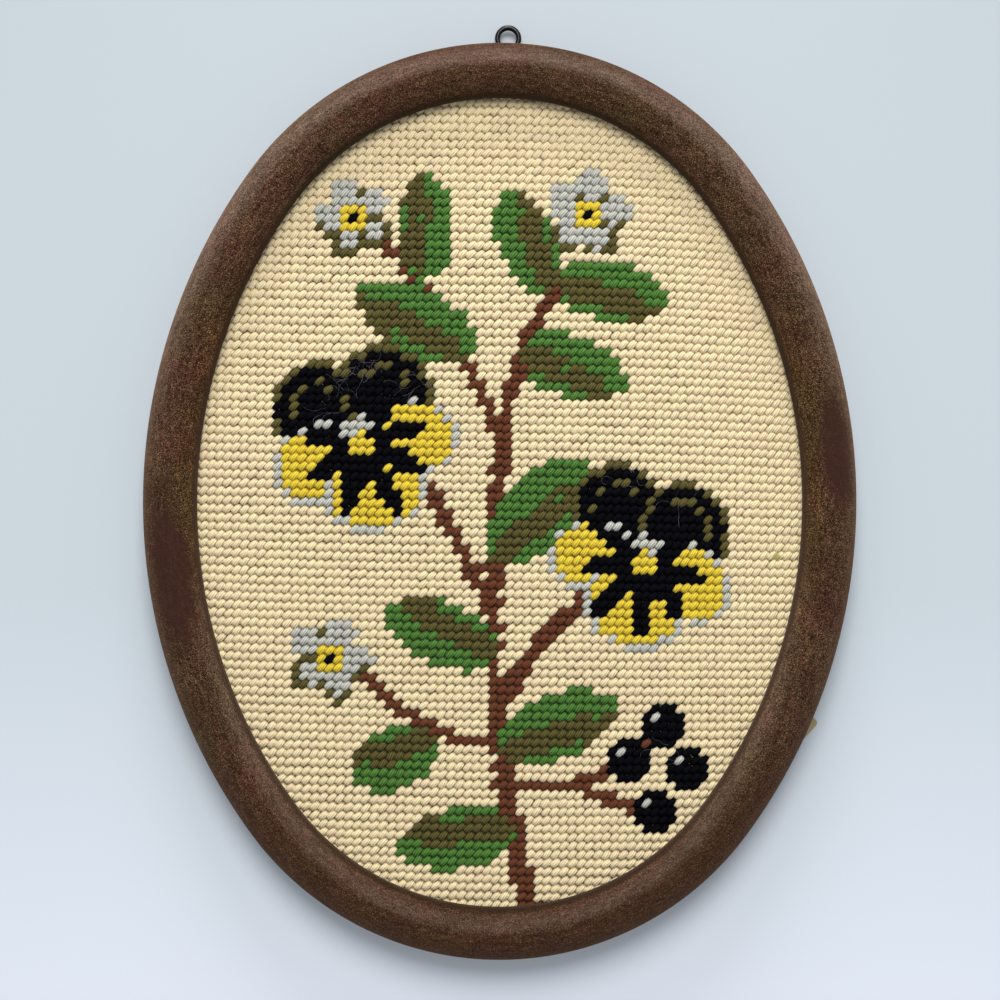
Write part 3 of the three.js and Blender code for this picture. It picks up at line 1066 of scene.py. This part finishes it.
# Each yarn's colour, and the darker shade tone that its strand grooves and holes are painted with
yarnColours = {
    "cream": {"colour": (0.88, 0.745, 0.495, 1), "shadeTone": (0.53, 0.405, 0.22, 1), "sheen": 0.2},
    "green": {"colour": (0.105, 0.245, 0.052, 1), "shadeTone": (0.010, 0.052, 0.001, 1), "sheen": 0.05},
    "olive": {"colour": (0.135, 0.115, 0.036, 1), "shadeTone": (0.022, 0.017, 0.001, 1), "sheen": 0.05},
    "brown": {"colour": (0.165, 0.056, 0.027, 1), "shadeTone": (0.045, 0.009, 0.002, 1), "sheen": 0.05},
    "black": {"colour": (0.0060, 0.0062, 0.0085, 1), "shadeTone": (0.001, 0.001, 0.0015, 1), "sheen": 0.0},
    "yellow": {"colour": (0.82, 0.645, 0.070, 1), "shadeTone": (0.42, 0.27, 0.004, 1), "sheen": 0.05},
    "grey": {"colour": (0.62, 0.62, 0.575, 1), "shadeTone": (0.20, 0.20, 0.18, 1), "sheen": 0.1},
}


# Fine strands that run along each stitch with a little twist, from the stitch's own measures, with painted
# shade in the grooves between them, in the holes and along the stitch's sides
def strandGroup():
    group, entry, leave = newGroup(
        "woolStrands",
        [("Colour", "NodeSocketColor", (0.8, 0.7, 0.5, 1)), ("ShadeTone", "NodeSocketColor", (0.4, 0.3, 0.2, 1)),
         ("Strands", "NodeSocketFloat", 1.7), ("Twist", "NodeSocketFloat", -0.20),
         ("Tint", "NodeSocketFloat", 0.09), ("Hole", "NodeSocketFloat", 0.55),
         ("Side", "NodeSocketFloat", 0.3)],
        [("Colour", "NodeSocketColor"), ("Height", "NodeSocketFloat")])
    lay = attributeNode(group, "lay", "Vector")
    along, across, chance = addNode(group, "ShaderNodeSeparateXYZ", {0: lay}).outputs
    place = objectCoordinates(group)
    wander = centred(group, noiseNode(group, place, *yarn["noise"]["wander"]))
    turn = mathNode(group, "MULTIPLY_ADD", along, entry["Twist"], across)
    turn = mathNode(group, "MULTIPLY_ADD", wander, yarn["wander"], turn)
    phase = mathNode(group, "MULTIPLY", turn, mathNode(group, "MULTIPLY", entry["Strands"], 2 * math.pi))
    phase = mathNode(group, "MULTIPLY_ADD", chance, yarn["phases"], phase)
    strand = mathNode(group, "MULTIPLY_ADD", mathNode(group, "SINE", phase), 0.5, 0.5)
    fuzz = noiseNode(group, place, *yarn["noise"]["fuzz"])
    height = mathNode(group, "MULTIPLY_ADD", fuzz, yarn["fuzz"], strand)
    # Painted shade in the grooves between strands: the colour turns to the shade tone there, with some
    # random fuzz
    strandShare, fuzzShare = yarn["depth"]
    depth = mathNode(group, "MULTIPLY", spread(group, fuzz, 0.3, 0.7), fuzzShare)
    depth = mathNode(group, "MULTIPLY_ADD", strand, strandShare, depth)
    depth = mathNode(group, "MULTIPLY_ADD", depth, *yarn["strandShadeRange"], clamp=True)
    base = mixColour(group, depth, entry["ShadeTone"], entry["Colour"])
    # Painted shade where the stitch dips into its holes and along its sides
    hole = spread(group, mathNode(group, "ABSOLUTE", along), *yarn["holeSpan"])
    side = spread(group, mathNode(group, "ABSOLUTE", across), *yarn["sideSpan"])
    shade = mathNode(group, "MAXIMUM", mathNode(group, "MULTIPLY", hole, entry["Hole"]),
                     mathNode(group, "MULTIPLY", side, entry["Side"]))
    base = mixColour(group, shade, base, tinted(group, entry["ShadeTone"], yarn["holeShade"]))
    patch = mathNode(group, "ADD", noiseNode(group, place, *yarn["noise"]["patch"]), centred(group, chance))
    base = tinted(group, base, mixColour(group, spread(group, patch, 0.1, 0.9), yarn["warmer"],
                                         yarn["cooler"]))
    base = dimmed(group, base, mathNode(group, "MULTIPLY_ADD", centred(group, chance), entry["Tint"], 1.0))
    group.links.new(base, leave["Colour"])
    group.links.new(height, leave["Height"])
    return group


woolStrands = strandGroup()


# A small spot of olive yellow that has soaked into the cream wool
stain = {
    "at": (69.4, -12.4),        # millimetres from the oval's middle
    "reach": 1.3 * mm,
    "ragged": (1.4, 0.3),       # how much the noise moves its edge, and where it starts
    "noise": (1500, 2.0, 0.5),
    "strength": 0.85,
    "colour": (0.33, 0.26, 0.05, 1),
}


def stainMask(tree):
    x, y = stain["at"]
    spot = (ovalCentre.x + x * mm, ovalCentre.y + y * mm, stitchTop)
    place = objectCoordinates(tree)
    away = addNode(tree, "ShaderNodeVectorMath", {0: place, 1: spot}, operation="DISTANCE").outputs["Value"]
    ragged = mathNode(tree, "MULTIPLY_ADD", noiseNode(tree, place, *stain["noise"]), *stain["ragged"])
    far = mathNode(tree, "MULTIPLY", away, ragged)
    mask = spread(tree, far, stain["reach"], stain["reach"] * 0.5)
    return mathNode(tree, "MULTIPLY", mask, stain["strength"])


def woolMaterial(name, colour, shadeTone, sheen):
    material, tree, shader = newMaterial("wool_" + name, 0.9, Specular_IOR_Level=sheen, Sheen_Weight=sheen,
                                         Sheen_Roughness=0.5)
    strands = placeGroup(tree, woolStrands, {"Colour": colour, "ShadeTone": shadeTone})
    base = strands["Colour"]
    if name == "cream":
        base = mixColour(tree, stainMask(tree), base, stain["colour"])
    tree.links.new(base, shader.inputs["Base Color"])
    addBump(tree, shader, strands["Height"], yarn["bump"], 0.9)
    return material


# One stitch along X, a sphere pulled to a plump lozenge: half its length and half its width are 1
def stitchShape(number):
    bm = bmesh.new()
    bmesh.ops.create_uvsphere(bm, u_segments=yarn["sides"], v_segments=yarn["rings"], radius=1)
    quarterTurn(bm, bm.verts, "Y")
    chance = random.Random(number)
    lift = chance.uniform(*yarn["lift"])
    lean = chance.uniform(-yarn["lean"], yarn["lean"])
    for vert in bm.verts:
        along, across, up = vert.co
        turn = math.atan2(across, up)
        ring = max(1 - abs(along) ** yarn["fullness"], 0) ** 0.5
        bulge = math.cos(turn)
        height = ring * (lift * bulge ** yarn["flatness"] if bulge > 0 else yarn["belly"] * bulge)
        vert.co = (along, ring * math.sin(turn) + lean * (1 - along**2), height)
    spots = np.array([vert.co for vert in bm.verts])
    faces = [[vert.index for vert in face.verts] for face in bm.faces]
    bm.free()
    return spots, faces


# A mesh of faces of mixed sizes, with each point's measures along and across its own stitch
def yarnMesh(name, spots, lays, loops, sizes):
    mesh = bpy.data.meshes.new(name)
    mesh.vertices.add(len(spots))
    mesh.vertices.foreach_set("co", spots.astype(np.float32).ravel())
    mesh.loops.add(len(loops))
    mesh.loops.foreach_set("vertex_index", loops.astype(np.int32))
    mesh.polygons.add(len(sizes))
    mesh.polygons.foreach_set("loop_start", (np.cumsum(sizes) - sizes).astype(np.int32))
    mesh.polygons.foreach_set("loop_total", sizes.astype(np.int32))
    mesh.update(calc_edges=True)
    layer = mesh.attributes.new("lay", "FLOAT_VECTOR", "POINT")
    layer.data.foreach_set("vector", lays.astype(np.float32).ravel())
    mesh.validate()
    return mesh


# Joins one copy of a stitch shape for each place into a single mesh
def joinStitches(name, cells):
    chance = np.random.default_rng(sum(map(ord, name)))
    shapes = [stitchShape(number) for number in range(yarn["shapes"])]
    cells = np.array(sorted(cells), dtype=float)
    pick = chance.integers(0, len(shapes), len(cells))
    col, row = cells[:, 0], cells[:, 1]
    x, y = canvasPoint(col, row)
    lowX, lowY = canvasPoint(col - 0.5, row - 0.5)
    highX, highY = canvasPoint(col + 0.5, row + 0.5)
    angle = np.arctan2(highY - lowY, highX - lowX)
    angle += np.radians(yarn["slant"] + yarn["twist"] * chance.normal(0, 1, len(cells)))
    x = x + chance.normal(0, yarn["shift"], len(cells))
    y = y + chance.normal(0, yarn["shift"], len(cells))
    length = yarn["length"] / 2 * (1 + yarn["swell"] * chance.normal(0, 0.6, len(cells)))
    width = yarn["width"] / 2 * (1 + yarn["swell"] * chance.normal(0, 1, len(cells)))
    plump = yarn["plump"] * (1 + yarn["swell"] * chance.normal(0, 1, len(cells)))
    tint = chance.random(len(cells))
    middle = stitchTop - yarn["room"] - yarn["plump"] * yarn["full"]
    spots, lays, loops, sizes = [], [], [], []
    made = 0
    for number, (shape, faces) in enumerate(shapes):
        those = np.nonzero(pick == number)[0]
        along = shape[None, :, 0] * length[those, None]
        across = shape[None, :, 1] * width[those, None]
        cos = np.cos(angle[those])[:, None]
        sin = np.sin(angle[those])[:, None]
        offX = along * cos - across * sin
        offY = along * sin + across * cos
        rise = shape[None, :, 2] * plump[those, None]
        rise = rise - yarn["endFall"] * np.abs(shape[None, :, 0]) ** yarn["endBend"]
        rise = rise - yarn["rowFall"] * (offY / mm) ** 2 * mm
        height = np.minimum(middle + rise, stitchTop)
        block = np.stack([x[those, None] + offX, y[those, None] + offY, height], axis=2)
        spots.append(block.reshape(-1, 3))
        lay = np.stack([along / mm, across / mm, tint[those, None] + 0 * along], axis=2)
        lays.append(lay.reshape(-1, 3))
        corners = np.array([corner for face in faces for corner in face])
        steps = np.arange(len(those))[:, None] * len(shape) + made
        loops.append((corners[None, :] + steps).ravel())
        sizes.append(np.tile([len(face) for face in faces], len(those)))
        made += len(those) * len(shape)
    return yarnMesh(name, *(np.concatenate(blocks) for blocks in (spots, lays, loops, sizes)))


def stitchedCells():
    cells = {}
    lip = moulding["bandWidth"] - yarn["underLip"]
    for col in range(-canvas["columns"], canvas["columns"] + 1):
        for row in range(-canvas["rows"], canvas["rows"] + 1):
            x, y = canvasPoint(col, row)
            if insetsAt(x, y)[0] > lip:
                cells.setdefault(chart.get((col, row), "cream"), []).append((col, row))
    return cells


def makeStitches():
    pieces = []
    for name, cells in stitchedCells().items():
        material = woolMaterial(name, **yarnColours[name])
        parts = {name: cells}
        if name == "cream":     # the ground is the most of it, so it is three pieces
            low, high = yarn["groundSplits"]
            parts = {
                "cream_upper": [cell for cell in cells if cell[1] >= high],
                "cream_middle": [cell for cell in cells if low <= cell[1] < high],
                "cream_lower": [cell for cell in cells if cell[1] < low],
            }
        for part, places in parts.items():
            piece = "stitches_" + part
            pieces.append(addPiece(piece, joinStitches(piece, places), material, 180))
            print("  ", part, len(places), "stitches")
    return pieces


stitchPieces = makeStitches()

strayFibres = {
    "places": [(-16, 16, 16), (-10, 14, 9), (-19, 12, 8), (15, 4, 7), (21, 2, 5), (20, -29, 5)],
    "spread": 3.6 * mm,
    "length": (2.5, 7.0),       # millimetres
    "thickness": 0.045 * mm,
    "lift": 0.08 * mm,
    "steps": 14,
    "curl": 2.5,                # radians that the curliest one turns in all
    "waver": 0.3,
    "colour": (0.16, 0.15, 0.185, 1),
    "shade": (0.35, 0.35, 0.35, 1),     # what its darker stretches are multiplied by
    "noise": (600, 2.0, 0.5),
}


# Pale hairs caught on the dark wool: curly threads, swept along a wandering line just over the stitches
def makeFibres():
    chance = random.Random(23)
    bm = bmesh.new()
    for col, row, count in strayFibres["places"]:
        middle = canvasPoint(col, row)
        for fibre in range(count):
            length = chance.uniform(*strayFibres["length"]) * mm
            heading = chance.uniform(0, 2 * math.pi)
            curl = chance.uniform(-1.0, 1.0) * strayFibres["curl"] / strayFibres["steps"]
            spot = Vector((middle[0] + chance.gauss(0, 0.5) * strayFibres["spread"],
                           middle[1] + chance.gauss(0, 0.5) * strayFibres["spread"],
                           stitchTop - strayFibres["lift"] * chance.uniform(0.3, 1.5)))
            section = bmesh.ops.create_circle(bm, cap_ends=True, segments=4,
                                              radius=strayFibres["thickness"] / 2)["verts"]
            turn = Matrix.Rotation(heading, 3, "Z") @ Matrix.Rotation(math.pi / 2, 3, "Y")
            bmesh.ops.rotate(bm, verts=section, cent=(0, 0, 0), matrix=turn)
            bmesh.ops.translate(bm, verts=section, vec=spot)
            ends = list(section[0].link_faces)
            for step in range(strayFibres["steps"]):
                sway = curl + chance.gauss(0, strayFibres["waver"])
                heading += sway
                ends = bmesh.ops.extrude_face_region(bm, geom=ends)["geom"]
                verts = [part for part in ends if isinstance(part, bmesh.types.BMVert)]
                ends = [part for part in ends if isinstance(part, bmesh.types.BMFace)]
                bmesh.ops.rotate(bm, verts=verts, cent=spot, matrix=Matrix.Rotation(sway, 3, "Z"))
                forward = Vector((math.cos(heading), math.sin(heading), 0)) * length / strayFibres["steps"]
                bmesh.ops.translate(bm, verts=verts, vec=forward)
                spot = spot + forward
    bmesh.ops.recalc_face_normals(bm, faces=bm.faces)
    material, tree, shader = newMaterial("pale_fibre", 0.8, Specular_IOR_Level=0.2)
    shade = noiseNode(tree, objectCoordinates(tree), *strayFibres["noise"])
    dark = tinted(tree, strayFibres["colour"], strayFibres["shade"])
    base = mixColour(tree, spread(tree, shade, 0.35, 0.6), dark, strayFibres["colour"])
    tree.links.new(base, shader.inputs["Base Color"])
    return makePiece("stray_fibres", bm, material, 180)


stitchPieces.append(makeFibres())
